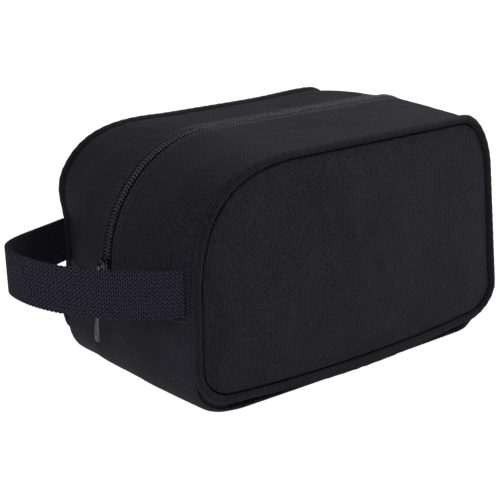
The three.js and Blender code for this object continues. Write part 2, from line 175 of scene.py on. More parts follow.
# ---- meshes --------------------------------------------------------------------------------------
@dataclass
class Draft:
    """Collects the points and faces of one piece, in millimetres, before it becomes a mesh."""

    points: list[Array] = field(default_factory=list)
    faces: list[list[int]] = field(default_factory=list)
    uvs: list[Array] = field(default_factory=list)
    count: int = 0

    def grid(self, points: Array, uv: Optional[Array] = None, rows: bool = False, ring: bool = True,
             capped: bool = False) -> "Draft":
        """Adds a sheet of quads over a grid of points.

        Args:
            points: Places, as rows x columns x 3.
            uv: Cloth coordinates in millimetres, with one row or column more wherever the grid wraps.
            rows: Whether the last row joins the first.
            ring: Whether the last column joins the first.
            capped: Whether the open ends are filled across the ring.

        Returns:
            The same draft, so that calls can follow each other.
        """
        high, wide = points.shape[:2]
        index = self.count + np.arange(high * wide).reshape(high, wide)
        index = np.concatenate([index, index[:1]]) if rows else index
        index = np.concatenate([index, index[:, :1]], axis=1) if ring else index
        if uv is None:
            uv = np.zeros((*index.shape, 2))
        corners = [(0, 0), (0, 1), (1, 1), (1, 0)]
        pick = [(slice(i, index.shape[0] - 1 + i), slice(j, index.shape[1] - 1 + j)) for i, j in corners]
        quads = np.stack([index[p] for p in pick], axis=-1).reshape(-1, 4)
        laid = np.stack([uv[p] for p in pick], axis=-2).reshape(-1, 2)
        self.faces.extend(quads.tolist())
        self.uvs.append(laid)
        self.points.append(points.reshape(-1, 3))
        self.count += high * wide
        if capped:
            for row in (0, high - 1):
                self._cap(index[row, :wide], uv[row, :wide])
        return self

    def _cap(self, ring: Array, uv: Array) -> None:
        """Fills the end of a flat ring with quads between its near and far face.

        Args:
            ring: The ring's point numbers, near face first.
            uv: Their cloth coordinates.
        """
        size = len(ring)
        for j in range(size // 2 - 1):
            far = size - 1 - j
            pick = [j, far, far - 1, j + 1]
            self.faces.append([int(ring[k]) for k in pick])
            self.uvs.append(uv[pick])

    def shell(self, outer: Array, inner: Array, uv: Array) -> "Draft":
        """Adds two sheets of the same grid, joined all round their rim.

        Args:
            outer: The outer face, as rows x columns x 3.
            inner: The inner face, the same size.
            uv: Cloth coordinates of both, in millimetres.

        Returns:
            The same draft.
        """
        high, wide = outer.shape[:2]
        start = self.count
        self.grid(outer, uv, ring=False)
        self.grid(inner, uv, ring=False)
        index = np.arange(high * wide).reshape(high, wide)
        rim = np.concatenate([index[0], index[1:, -1], index[-1, -2::-1], index[-2:0:-1, 0]])
        ahead = np.roll(rim, -1)
        flat = uv.reshape(-1, 2)
        quads = np.stack([rim, ahead, ahead + high * wide, rim + high * wide], axis=-1) + start
        self.faces.extend(quads.tolist())
        self.uvs.append(np.stack([flat[rim], flat[ahead], flat[ahead], flat[rim]], axis=1).reshape(-1, 2))
        return self

    def make(self, name: str, material: Material) -> Object:
        """Makes the mesh object, welded, with its faces turned outwards and shaded smooth.

        Args:
            name: The piece's name.
            material: Its finish.

        Returns:
            The object, linked to the scene.
        """
        mesh = bpy.data.meshes.new(name)
        mesh.from_pydata((np.concatenate(self.points) * MM).tolist(), [], self.faces)
        layer = mesh.uv_layers.new(name="cloth")
        layer.data.foreach_set("uv", (np.concatenate(self.uvs) * MM).ravel())
        form = bmesh.new()
        form.from_mesh(mesh)
        bmesh.ops.remove_doubles(form, verts=form.verts, dist=0.001 * MM)
        bmesh.ops.recalc_face_normals(form, faces=form.faces)
        form.to_mesh(mesh)
        form.free()
        mesh.shade_smooth()
        mesh.materials.append(material)
        return place_object(name, mesh)


def tube(path: Array, along: Array, out: Array, radius: Array, sides: int) -> Array:
    """Sweeps a round section along a path.

    Args:
        path: Points of the centre line, n x 3.
        along: Directions of travel, n x 3.
        out: Directions of the section's first axis, n x 3.
        radius: Radii, n.
        sides: Points round the section.

    Returns:
        A grid of points, n x sides x 3.
    """
    along = unit(along)
    out = unit(out - along * np.sum(out * along, axis=-1, keepdims=True))
    up = np.cross(along, out)
    angle = around(sides)
    ring = out[:, None] * np.cos(angle)[None, :, None] + up[:, None] * np.sin(angle)[None, :, None]
    return path[:, None] + ring * np.asarray(radius)[:, None, None]


@dataclass(frozen=True)
class Wander:
    """A smooth random field, made of plane waves, that crumples cloth the same way each time.

    Its waves run from the shortest to the longest length, and amount is its usual height.
    """

    seed: int
    shortest: float
    longest: float
    amount: float
    waves: int = 28

    def at(self, points: Array) -> Array:
        """Reads the field.

        Args:
            points: Places, with x, y and z last.

        Returns:
            The field's height at each of them.
        """
        draw = np.random.default_rng(self.seed)
        way = unit(draw.normal(size=(self.waves, 3)))
        length = np.exp(draw.uniform(math.log(self.shortest), math.log(self.longest), self.waves))
        phase = draw.uniform(0, math.tau, self.waves)
        total = np.zeros(points.shape[:-1])
        for k in range(self.waves):
            total += np.cos(points @ way[k] * (math.tau / length[k]) + phase[k])
        return total / math.sqrt(self.waves / 2) * self.amount


# ---- the bag's form ------------------------------------------------------------------------------
@dataclass(frozen=True)
class Corner:
    """One corner of an outline, and how far its bend reaches back and on along the edges."""

    x: float
    z: float
    back: float
    on: float
    fullness: float = 0.5523

    def bend(self, before: Array, after: Array, steps: int) -> Array:
        """Draws the bend, from the edge before the corner to the edge after it.

        Args:
            before: A point on the edge before the corner.
            after: A point on the edge after it.
            steps: How many steps the bend takes.

        Returns:
            The points, steps + 1 x 2.
        """
        here = np.array([self.x, self.z])
        inward, outward = unit(here - before), unit(after - here)
        start, end = here - inward * self.back, here + outward * self.on
        near = start + inward * self.back * self.fullness
        far = end - outward * self.on * self.fullness
        t = np.linspace(0, 1, steps + 1)[:, None]
        ends = (1 - t) ** 3 * start + t ** 3 * end
        return ends + 3 * (1 - t) * t * ((1 - t) * near + t * far)


@dataclass(frozen=True)
class Steps:
    """How many steps an outline takes along each stretch, from the left split over the top and back."""

    left_high: int = 8
    top_left: int = 100
    top: int = 100
    top_right: int = 44
    right_high: int = 36
    right_low: int = 20
    low_right: int = 60
    bottom: int = 50
    low_left: int = 60
    left_low: int = 20

    @property
    def upper(self) -> int:
        """Steps from the left split to the right split."""
        return self.left_high + self.top_left + self.top + self.top_right + self.right_high

    @property
    def lower(self) -> int:
        """Steps from the right split back to the left one."""
        return self.right_low + self.low_right + self.bottom + self.low_left + self.left_low

    @property
    def total(self) -> int:
        """Steps all the way round."""
        return self.upper + self.lower


@dataclass(frozen=True)
class Outline:
    """A closed outline in the XZ plane with four rounded corners, clockwise from the top left."""

    top_left: Corner
    top_right: Corner
    low_right: Corner
    low_left: Corner
    split: float
    bow: float = 0.0
    bow_fade: float = 22.0

    def walk(self, steps: Steps) -> Array:
        """Points round the outline, starting where the left edge crosses the split height.

        Args:
            steps: How many steps each stretch takes.

        Returns:
            The points, steps.total x 2.
        """
        corners = self.top_left, self.top_right, self.low_right, self.low_left
        counts = steps.top_left, steps.top_right, steps.low_right, steps.low_left
        spots = [np.array([c.x, c.z]) for c in corners]
        left, right = self._cross(spots[3], spots[0]), self._cross(spots[2], spots[1])
        bends = [corner.bend(spots[k - 1], spots[(k + 1) % 4], count)
                 for k, (corner, count) in enumerate(zip(corners, counts))]
        runs = [
            self._straight(left, bends[0][0], steps.left_high), bends[0][1:],
            self._straight(bends[0][-1], bends[1][0], steps.top), bends[1][1:],
            self._straight(bends[1][-1], right, steps.right_high),
            self._straight(right, bends[2][0], steps.right_low), bends[2][1:],
            self._straight(bends[2][-1], bends[3][0], steps.bottom), bends[3][1:],
            self._straight(bends[3][-1], left, steps.left_low)[:-1],
        ]
        points = np.concatenate([left[None], *runs])
        middle, half = (spots[3][0] + spots[2][0]) / 2, (spots[2][0] - spots[3][0]) / 2
        inwards = np.maximum(0, 1 - ((points[:, 0] - middle) / half) ** 2)
        near = np.clip(1 - (points[:, 1] - spots[3][1]) / self.bow_fade, 0, 1)
        points[:, 1] -= self.bow * inwards * near
        return points

    def _cross(self, low: Array, high: Array) -> Array:
        """Where an end edge passes the split height."""
        return low + (high - low) * (self.split - low[1]) / (high[1] - low[1])

    @staticmethod
    def _straight(start: Array, end: Array, steps: int) -> Array:
        """Points on a straight edge, without its start."""
        return start + (end - start) * (np.arange(1, steps + 1) / steps)[:, None]


@dataclass
class BagForm:
    """The bag's soft form: where its seams, its gusset and its zip line run."""

    steps: Steps = Steps()
    flat_share: float = 0.88
    cord_radius: float = 2.0
    coil_rise: float = 1.0
    bow: float = 7.5
    seam_gap: float = 0.3

    def __post_init__(self) -> None:
        """Works the two outlines out from the frame's solids."""
        cord_low, cord_high = (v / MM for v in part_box("front_piping_cord"))
        coil_low, coil_high = (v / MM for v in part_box("front_coil"))
        self.depth = round(-cord_low.y - self.cord_radius, 0)
        low = cord_low.z + self.cord_radius + self.bow
        high = cord_high.z - self.cord_radius
        self.left = coil_low.x + self.coil_rise
        self.top = coil_high.z - self.coil_rise
        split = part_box("front_zip_gusset")[0].z / MM - self.seam_gap
        # Each corner: x, height, how far its bend reaches back and on, and how full the bend is.
        seam = Outline(
            Corner(-139.0, high, 86, 84, 0.7), Corner(127.5, high, 24, 40),
            Corner(143.0, low, 22, 30), Corner(-141.5, low, 26, 24), split, self.bow)
        middle = Outline(
            Corner(self.left, self.top, 86, 86), Corner(137.0, self.top, 34, 40),
            Corner(150.0, 0.0, 34, 38), Corner(self.left, 0.0, 38, 34), split)
        self.seam = seam.walk(self.steps)
        self.middle = middle.walk(self.steps)
        self.seam_out = self._outwards(self.seam)
        self.middle_out = self._outwards(self.middle)
        self.square = self._squareness()
        self.seam_run, self.middle_run = (
            walked(np.vstack([line, line[:1]])) for line in (self.seam, self.middle))

    @staticmethod
    def _outwards(outline: Array) -> Array:
        """Unit normals of a closed outline, in its plane."""
        along = unit(np.roll(outline, -1, axis=0) - np.roll(outline, 1, axis=0))
        return np.stack([-along[:, 1], along[:, 0]], axis=1)

    def _squareness(self) -> Array:
        """Works out how square the gusset's section is at each step.

        Returns:
            One share for each step, 0 on the ends and the top and 1 on the bottom.
        """
        step = np.arange(self.steps.total)
        start = self.steps.upper + self.steps.right_low
        flat = start + self.steps.low_right
        end = flat + self.steps.bottom
        return smooth(step, start, flat) * (1 - smooth(step, end, end + self.steps.low_left))

    def _flat(self, rows: Array, depth: Array) -> Array:
        """Lays points on the gusset's outer face, in the XZ plane.

        Args:
            rows: Steps round the outline.
            depth: Distances from the zip's plane.

        Returns:
            The places, rows x depths x 2.
        """
        rows = rows % self.steps.total
        across = np.abs(depth) / self.depth
        square = self.square[rows][:, None]
        edge = np.clip((across - self.flat_share) / (1 - self.flat_share), 0, 1)
        rise = (1 - across ** 2) * (1 - square) + np.sqrt(1 - edge ** 2) * square
        seam, middle = self.seam[rows][:, None], self.middle[rows][:, None]
        return seam + (middle - seam) * rise[..., None]

    def gusset(self, rows: Array, depth: Array, lift: Any = 0.0) -> Array:
        """Places on the gusset, lifted off its outer face.

        Args:
            rows: Steps round the outline.
            depth: Distances from the zip's plane, along Y.
            lift: How far outwards each point stands.

        Returns:
            Points, rows x depths x 3.
        """
        here = self._flat(rows, depth)
        along = unit(self._flat(rows + 1, depth) - self._flat(rows - 1, depth))
        spot = here + np.stack([-along[..., 1], along[..., 0]], axis=-1) * np.asarray(lift)[..., None]
        wide = np.broadcast_to(depth, here.shape[:2])
        return self.settle(np.stack([spot[..., 0], wide, spot[..., 1]], axis=-1))

    def seam_ring(self, side: Side, out: Array, front: Array) -> Array:
        """Places round the seam line.

        Args:
            side: Which seam.
            out: Distances outwards in the seam's plane, steps x k or k.
            front: Distances away from the bag's middle, the same size.

        Returns:
            Points, steps x k x 3.
        """
        spot = self.seam[:, None] + self.seam_out[:, None] * np.broadcast_to(
            out, (self.steps.total, np.shape(out)[-1]))[..., None]
        reach = np.broadcast_to(side.value * (self.depth + front), spot.shape[:2])
        return self.settle(np.stack([spot[..., 0], reach, spot[..., 1]], axis=-1))

    def settle(self, points: Array) -> Array:
        """Lets the soft bag sag as a whole, the same for every layer of cloth.

        Args:
            points: Places, with x, y and z last.

        Returns:
            The moved places.
        """
        x, y, z = points[..., 0], points[..., 1], points[..., 2]
        moved = points.copy()
        behind = smooth(y, 10, 84)
        rear_end = behind * smooth(x, -40, -140)
        hollow = 4.5 * smooth(z, 5, 60) * smooth(z, 125, 95)
        shoulder = 5.0 * smooth(z, 105, 135)
        moved[..., 0] += rear_end * (hollow - shoulder)
        moved[..., 2] += rear_end * 5.0 * smooth(z, 100, 135)
        high = smooth(z, 110, 165)
        rear_swell = 2.0 * behind * np.exp(-((x - 92) / 34) ** 2)
        right_sag = 3.5 * smooth(x, 96, 128) * smooth(y, -45, 15)
        moved[..., 2] += high * (rear_swell - right_sag)
        left_foot = smooth(x, -100, -140) * smooth(z, 70, 25)
        tucked, flared = 2.5 * np.exp(-((y + 10) / 35) ** 2), 3.0 * smooth(y, 45, 80)
        moved[..., 0] += left_foot * (tucked - flared)
        moved[..., 1] -= 4.5 * smooth(z, 7, 2) * smooth(y, -60, -80) * smooth(np.abs(x), 128, 104)
        return moved


# ---- finishes ------------------------------------------------------------------------------------
MIX_LOW, MIX_HIGH, MIX_COLOUR = 6, 7, 2  # a colour mix's two colours and its result


def add(tree: NodeTree, kind: str, inputs: Any = (), **settings: Any) -> Node:
    """Adds a shader node with its settings and links.

    Args:
        tree: The node tree it goes in.
        kind: Its Blender type, without the ShaderNode that starts it.
        inputs: Values, sockets or nodes for its inputs, in order or by name. A node gives its first
            output.
        **settings: The node's own properties.

    Returns:
        The node.
    """
    made = tree.nodes.new(f"ShaderNode{kind}")
    for key, value in settings.items():
        setattr(made, key, value)
    for key, value in inputs.items() if isinstance(inputs, dict) else enumerate(inputs):
        value = value.outputs[0] if isinstance(value, Node) else value
        if isinstance(value, NodeSocket):
            tree.links.new(value, made.inputs[key])
        else:
            made.inputs[key].default_value = value
    return made


def blank(name: str) -> tuple[Material, NodeTree]:
    """A new material with an empty node tree.

    Args:
        name: The material's name.

    Returns:
        The material and its node tree.
    """
    material = bpy.data.materials.new(name)
    material.use_nodes = True
    material.node_tree.nodes.clear()
    return material, material.node_tree


@dataclass(frozen=True)
class Cloth:
    """What every woven finish shares: its place on the cloth and its matt, slightly fuzzy shader."""

    name: str
    # gap is painted shade: the dark colour put between the yarns, where shade falls. crest is the colour of
    # the yarns' crowns.
    gap: str
    crest: str
    relief: float
    turn: float = 0.0
    roughness: float = 0.9
    fuzz: float = 0.02

    def make(self) -> Material:
        """Builds the material.

        Returns:
            The material.
        """
        material, tree = blank(self.name)
        laid = add(tree, "UVMap", uv_map="cloth")
        place = add(tree, "Mapping", {
            "Vector": laid, "Rotation": (0.0, 0.0, math.radians(self.turn)), "Scale": (1 / MM,) * 3})
        height, share = self.pattern(tree, place)
        # Painted shade: the colour falls from crest to gap wherever the pattern's share drops, which is in
        # the gaps between yarns.
        base = add(tree, "Mix", {
            0: share, MIX_LOW: linear(self.gap), MIX_HIGH: linear(self.crest)}, data_type="RGBA")
        bump = add(tree, "Bump", {"Height": height, "Strength": 1.0, "Distance": self.relief * MM})
        shader = add(tree, "BsdfPrincipled", {
            "Base Color": base.outputs[MIX_COLOUR], "Roughness": self.roughness, "IOR": 1.5,
            "Specular IOR Level": 0.08, "Sheen Weight": self.fuzz, "Sheen Roughness": 0.5,
            "Sheen Tint": linear("#c9c8da"), "Normal": bump})
        add(tree, "OutputMaterial", {"Surface": shader})
        return material

    def pattern(self, tree: NodeTree, place: Node) -> NodePair:
        """The pattern's height and its share of the crest colour."""
        raise NotImplementedError


@dataclass(frozen=True)
class Weave(Cloth):
    """Plain weave: yarns that pass over and under each other, each float a little its own shade."""

    warp: float = 1.5
    weft: float = 1.15
    uneven: float = 0.5

    def pattern(self, tree: NodeTree, place: Node) -> NodePair:
        """The weave's height and its share of the crest colour.

        Args:
            tree: The node tree it goes in.
            place: Places on the cloth in millimetres.

        Returns:
            The node of the height and the node of the share.
        """
        drift = add(tree, "TexNoise", {"Vector": place, "Scale": 0.08, "Detail": 2.0})
        parts = add(tree, "SeparateXYZ", [place])
        yarns, crowns = [], []
        for axis, pitch in zip("XY", (self.warp, self.weft)):
            straight = add(tree, "Math", [parts.outputs[axis], 1 / pitch], operation="MULTIPLY")
            count = add(tree, "Math", [drift, 0.8, straight], operation="MULTIPLY_ADD")
            yarns.append(add(tree, "Math", [count], operation="FLOOR"))
            turn = add(tree, "Math", [count, math.pi], operation="MULTIPLY")
            wave = add(tree, "Math", [turn], operation="SINE")
            crowns.append(add(tree, "Math", [wave], operation="ABSOLUTE"))
        both = add(tree, "Math", yarns, operation="ADD")
        over = add(tree, "Math", [both, 2.0], operation="FLOORED_MODULO")
        floats = []
        for near, far in (crowns, crowns[::-1]):
            soft = add(tree, "Math", [far, 0.4], operation="POWER")
            floats.append(add(tree, "Math", [near, soft], operation="MULTIPLY"))
        warp_up, weft_up = floats
        height = add(tree, "Mix", {0: over, 2: warp_up, 3: weft_up})
        cell = add(tree, "CombineXYZ", yarns)
        own = add(tree, "TexWhiteNoise", {"Vector": cell})
        worn = add(tree, "TexNoise", {"Vector": place, "Scale": 0.03, "Detail": 3.0})
        dark = -0.5 * self.uneven - 0.78
        share = add(tree, "Math", [own.outputs["Value"], self.uneven, dark], operation="MULTIPLY_ADD")
        share = add(tree, "Math", [worn, 0.5, share], operation="MULTIPLY_ADD")
        # Painted shade: the crest share falls with the yarns' height, so the gaps between yarns take the
        # dark gap colour.
        return height, add(tree, "Math", [height, 1.9, share], operation="MULTIPLY_ADD")


@dataclass(frozen=True)
class Zigzag(Cloth):
    """Heavy webbing: yarns that lie as rows of small Vs along the band."""

    wide: float = 3.0
    row: float = 2.75
    dip: float = 2.2

    def height(self, along: Array, across: Array) -> Array:
        """Height of the yarns, from 0 to 1, at places on the band in millimetres."""
        leg = np.abs((along / self.wide * 2) % 2 - 1)
        return 0.5 + 0.5 * np.cos(math.tau * (across + leg * self.dip) / self.row)

    def pattern(self, tree: NodeTree, place: Node) -> NodePair:
        """The webbing's height and its share of the crest colour.

        Args:
            tree: The node tree it goes in.
            place: Places on the band in millimetres.

        Returns:
            The node of the height and the node of the share.
        """
        fray = add(tree, "TexNoise", {"Vector": place, "Scale": 0.5, "Detail": 3.0})
        parts = add(tree, "SeparateXYZ", [place])
        half = add(tree, "Math", [parts.outputs["Y"], 2 / self.wide], operation="MULTIPLY")
        lapse = add(tree, "Math", [half, 2.0], operation="FLOORED_MODULO")
        signed = add(tree, "Math", [lapse, 1.0], operation="SUBTRACT")
        leg = add(tree, "Math", [signed], operation="ABSOLUTE")
        level = add(tree, "Math", [leg, self.dip, parts.outputs["X"]], operation="MULTIPLY_ADD")
        loose = add(tree, "Math", [fray, 1.4, level], operation="MULTIPLY_ADD")
        turn = add(tree, "Math", [loose, math.tau / self.row], operation="MULTIPLY")
        wave = add(tree, "Math", [turn], operation="COSINE")
        lean = add(tree, "Math", [half, math.pi], operation="MULTIPLY")
        sway = add(tree, "Math", [lean], operation="SINE")
        gap = add(tree, "Math", [sway], operation="ABSOLUTE")
        low = add(tree, "Math", [gap, 0.5, 0.02], operation="MULTIPLY_ADD")
        height = add(tree, "Math", [wave, 0.26, low], operation="MULTIPLY_ADD")
        fibre = add(tree, "TexNoise", {"Vector": place, "Scale": 1.1, "Detail": 3.0})
        lone = add(tree, "Math", [fibre, 2.6, -1.3], operation="MULTIPLY_ADD")
        # Painted shade: the crest share follows the yarns' height, so the gaps between the Vs and between
        # their rows take the near-black gap colour.
        share = add(tree, "Math", [lone, 0.6, height], operation="MULTIPLY_ADD")
        return height, share


@dataclass(frozen=True)
class Gloss:
    """A smooth hard finish, such as plated metal or nylon wire, or the thread's even shine."""

    name: str
    colour: str
    metallic: float
    roughness: float
    coat: float = 0.0

    def make(self) -> Material:
        """Builds the material.

        Returns:
            The material.
        """
        material, tree = blank(self.name)
        place = add(tree, "TexCoord").outputs["Object"]
        grain = add(tree, "TexNoise", {"Vector": place, "Scale": 900.0, "Detail": 4.0})
        rough = add(tree, "MapRange", {
            "Value": grain, "To Min": self.roughness * 0.7, "To Max": self.roughness * 1.3})
        bump = add(tree, "Bump", {"Height": grain, "Strength": 1.0, "Distance": 0.004 * MM})
        shader = add(tree, "BsdfPrincipled", {
            "Base Color": linear(self.colour), "Metallic": self.metallic, "Roughness": rough,
            "Coat Weight": self.coat, "Coat Roughness": 0.1, "Normal": bump})
        add(tree, "OutputMaterial", {"Surface": shader})
        return material


@dataclass(frozen=True)
class Finishes:
    """Every finish on the bag, each named for what it is made of."""

    # In each woven finish the first colour is painted shade for the gaps between yarns, and the second is
    # the colour of the yarns' crowns.
    # Black cotton canvas: matt, with a clear plain weave and a cool cast. The real yarns are about
    # 0.7 mm apart, and they are drawn up to 1.5 mm apart so that the weave shows.
    canvas: Cloth = Weave("black_cotton_canvas", "#000001", "#2b2932", 0.6)
    # The same cloth cut on the bias, so its yarns run slantwise round the cord.
    bias: Cloth = Weave("bias_cut_canvas", "#010102", "#232229", 0.3, turn=45.0)
    # Thin woven nylon: nearly smooth, with a soft shine on its folds.
    lining: Cloth = Weave("nylon_lining", "#0c0c0e", "#232327", 0.05, roughness=0.45, warp=0.8, weft=0.8)
    # Woven polyester tape: flat, tight and darker than the canvas.
    tape: Cloth = Weave("polyester_tape", "#050506", "#17171a", 0.12, roughness=0.7, warp=0.9, weft=0.9)
    # Black cotton webbing: stout yarns in rows of Vs, with near-black painted shade in the gaps and a
    # violet crest colour that is partly the yarn's tint and partly painted highlight.
    webbing: Cloth = Zigzag("cotton_webbing", "#010102", "#363444", 0.4)
    # Undyed twisted cotton, which shows only inside the piping.
    cord: Cloth = Weave("cotton_cord", "#8f8a7c", "#d8d4c8", 0.2)
    # Nylon monofilament: black and glossy, so each turn of the coil has one small highlight.
    nylon: Gloss = Gloss("nylon_wire", "#08080f", 0.0, 0.34, coat=0.15)
    # Spun polyester sewing thread: a shade glossier than the canvas.
    thread: Gloss = Gloss("polyester_thread", "#131217", 0.0, 0.5)
    # Die-cast zinc with black plating, polished: dark, with sharp bright reflections.
    zinc: Gloss = Gloss("black_plated_zinc", "#3a3a40", 1.0, 0.16)


# ---- sub-assemblies ------------------------------------------------------------------------------
@dataclass
class Kit:
    """What every sub-assembly needs: the form, the finishes and how a piece is made and handed over."""

    form: BagForm
    materials: dict[str, Material]

    def make(self, draft: Draft, name: str, finish: str, body: str, *nodes: str,
             place: Optional[Matrix] = None) -> Object:
        """Makes a piece, parents it to its body unless that body is in BLENDS, where it is only baked in
        place, hides the solids it stands for, and reports it.

        Args:
            draft: Its points and faces.
            name: Its name.
            finish: Its finish, as named in Finishes.
            body: The body it follows.
            *nodes: The frame's nodes that it stands for.
            place: Where it goes, if it was drawn lying at the origin.

        Returns:
            The piece.
        """
        piece = draft.make(name, self.materials[finish])
        if place is not None:
            piece.data.transform(place)
        if body in BLENDS:
            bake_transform(piece)
        else:
            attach(piece, body)
        if nodes:
            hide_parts(*nodes)
        LOG.info("%s: %d faces on %s", piece.name, len(piece.data.polygons), body)
        return piece


@dataclass
class Part:
    """A sub-assembly of the bag."""

    kit: Kit

    @property
    def form(self) -> BagForm:
        """The bag's form."""
        return self.kit.form

    @property
    def steps(self) -> Steps:
        """The form's steps round the outline."""
        return self.form.steps


@dataclass
class HalfPart(Part):
    """A sub-assembly that the front and the rear half both have."""

    side: Side

    def hand_over(self, draft: Draft, name: str, finish: str, *nodes: str) -> Object:
        """Makes a piece of this half of the bag, and adds the half's word to its name and its nodes.

        Args:
            draft: Its points and faces.
            name: Its name, without the half's word.
            finish: Its finish.
            *nodes: The frame's nodes that it stands for, without the half's word.

        Returns:
            The piece.
        """
        word = self.side.word
        solids = [f"{word}_{node}" for node in nodes]
        return self.kit.make(draft, f"{name}_{word}", finish, self.side.body, *solids)


@dataclass
class Panel(HalfPart):
    """One of the two flat panels, with its lining."""

    crown: float = 5.0
    squareness: float = 2.4
    columns: int = 116
    rows: int = 68
    rings: tuple[float, ...] = (9.5, 8.0, 7.0, 6.2, 5.7, 5.2, 4.8, 4.4, 4.1, 3.9, 3.75, 3.7, 3.0, 2.4)
    dent_plane: float = 50.0

    def build(self) -> None:
        """Makes the canvas panel and its lining."""
        self._layer("canvas", (0.6, -0.6), "panel")
        self._layer("lining", (-1.2, -1.7), "panel_lining")

    def _layer(self, finish: str, levels: tuple[float, float], node: str) -> None:
        """Makes one layer of cloth.

        Args:
            finish: Its finish.
            levels: How far its face and its back lie outside the seam's plane.
            node: The frame's solid that it stands for, without the half's word.
        """
        edges, outs = self._edges()
        loop = np.concatenate([edge[:-1] for edge in edges])
        out = np.concatenate([way[:-1] for way in outs])
        patch = self._patch([edge - way * self.rings[0] for edge, way in zip(edges, outs)])
        reach = np.array(self.rings)[:, None]
        rings = loop[None] - out[None] * reach[..., None]
        wrapped = np.concatenate([rings, rings[:, :1]], axis=1)
        gap = np.min(np.linalg.norm(patch[:, :, None] - loop[None, None], axis=-1), axis=-1) - Piping.radius
        draft = Draft()
        rims = []
        for level in levels:
            draft.grid(self._raise(patch, gap, level), patch, ring=False)
            draft.grid(self._raise(rings, reach - Piping.radius, level), wrapped)
            rims.append(self._raise(rings[-1:], reach[-1:] - Piping.radius, level))
        draft.grid(np.concatenate(rims), np.repeat(wrapped[-1:], 2, axis=0))
        piece = self.hand_over(draft, f"{finish}_panel", finish, node)

    def _edges(self) -> tuple[list[Array], list[Array]]:
        """The seam line's four stretches between its corners' middles, and their outward directions.

        Returns:
            Four stretches and four sets of directions, each points x 2.
        """
        form, steps = self.form, self.steps
        low = steps.upper + steps.right_low
        turns = [
            steps.left_high + steps.top_left // 2,
            steps.left_high + steps.top_left + steps.top + steps.top_right // 2,
            low + steps.low_right // 2,
            low + steps.low_right + steps.bottom + steps.low_left // 2]
        stops = [*turns[1:], turns[0] + steps.total]
        edges, outs = [], []
        for start, stop, size in zip(turns, stops, (self.columns, self.rows) * 2):
            index = np.arange(start, stop + 1) % steps.total
            line, way = form.seam[index], form.seam_out[index]
            run = walked(line)
            even = np.linspace(0, run[-1], size)
            edges.append(read_off(even, run, line))
            outs.append(read_off(even, run, way))
        return edges, outs

    def _patch(self, edges: list[Array]) -> Array:
        """Spans four stretches of outline with a grid.

        Args:
            edges: The stretches, clockwise from the top.

        Returns:
            The grid, rows x columns x 2.
        """
        top, right, low, left = edges[0], edges[1][::-1], edges[2][::-1], edges[3]
        s = np.linspace(0, 1, self.columns)[None, :, None]
        t = np.linspace(0, 1, self.rows)[:, None, None]
        sides = (1 - t) * low[None] + t * top[None] + (1 - s) * left[:, None] + s * right[:, None]
        ends = (1 - s) * (1 - t) * low[0] + s * (1 - t) * low[-1] + (1 - s) * t * top[0] + s * t * top[-1]
        return sides - ends

    def _raise(self, flat: Array, gap: Array, level: float) -> Array:
        """Gives flat cloth its soft crown, dents and tucked rim.

        Args:
            flat: Places in the seam's plane.
            gap: Their distances from the piping's face.
            level: How far the layer lies outside the seam's plane.

        Returns:
            The same places, with y between x and z.
        """
        form = self.form
        middle, half = (form.seam.max(axis=0) + form.seam.min(axis=0)) / 2, np.ptp(form.seam, axis=0) / 2
        swell = np.prod(np.clip(1 - np.abs((flat - middle) / half) ** self.squareness, 0, 1), axis=-1)
        plane = np.full(flat.shape[:-1], self.dent_plane * self.side.value)
        solid = np.stack([flat[..., 0], plane, flat[..., 1]], axis=-1)
        seed = 11 if self.side is Side.FRONT else 12
        dents = Wander(seed, 60, 160, 0.9).at(solid) + Wander(seed + 20, 14, 40, 0.16).at(solid)
        pucker = Wander(seed + 40, 7, 13, 0.14).at(solid) * smooth(gap, 22, 3) * smooth(gap, -1, 3)
        puff = 1.2 * smooth(gap, -1, 18)
        away = form.depth + level + self.crown * swell + puff + dents * smooth(gap, 0, 25) + pucker
        solid[..., 1] = self.side.value * (away - groove(gap))
        return form.settle(solid)


@dataclass
class Piping(HalfPart):
    """The corded seam round a panel: a bias-cut cover, its filler cord and the bound edges inside."""

    radius: float = 3.0
    cord_radius: float = 2.0
    sides: int = 20
    strands: int = 3
    lay: float = 4.0
    strand_gap: float = 0.15
    binding_wrap: float = 30.0

    def build(self) -> None:
        """Makes the cover, the cord and the binding."""
        form = self.form
        angle, here = around(self.sides), form.seam_run[:-1, None]
        slow, quick = math.tau * here / 7.3, math.tau * here / 3.1
        twist = 0.10 * np.sin(slow + angle) + 0.05 * np.sin(quick - angle)
        strand = self.cord_radius + self.strand_gap * (np.cos(self.strands * (angle - here / self.lay)) - 1)
        uv = spread(np.append(angle, math.tau) * self.radius, form.seam_run)
        for radius, name, finish, node in (
                (self.radius + twist, "piping", "bias", "piping_cover"),
                (strand, "filler_cord", "cord", "piping_cord")):
            ring = form.seam_ring(self.side, radius * np.cos(angle), radius * np.sin(angle))
            draft = Draft().grid(ring, uv, rows=True)
            self.hand_over(draft, name, finish, node)
        self._binding()

    def _binding(self) -> None:
        """Makes the folded tape over the raw edges inside the seam."""
        form = self.form
        reach = np.array([4.0, 11.4, 12.0, 11.4, 4.0, 4.0])
        half = np.array([0.8, 0.8, 0.0, -0.8, -0.8, 0.0])
        out, front = (-reach + half) * math.sqrt(0.5), (-reach - half) * math.sqrt(0.5)
        ripple = 0.3 * np.sin(form.seam_run[:-1, None] / 9.0) * smooth(reach, 5, 12)[None]
        ring = form.seam_ring(self.side, out[None] + ripple, front[None] - ripple)
        wrap = np.append(walked(np.stack([reach, half], axis=-1)), self.binding_wrap)
        draft = Draft().grid(ring, spread(wrap, form.seam_run), rows=True)
        self.hand_over(draft, "seam_binding", "tape", "seam_binding")


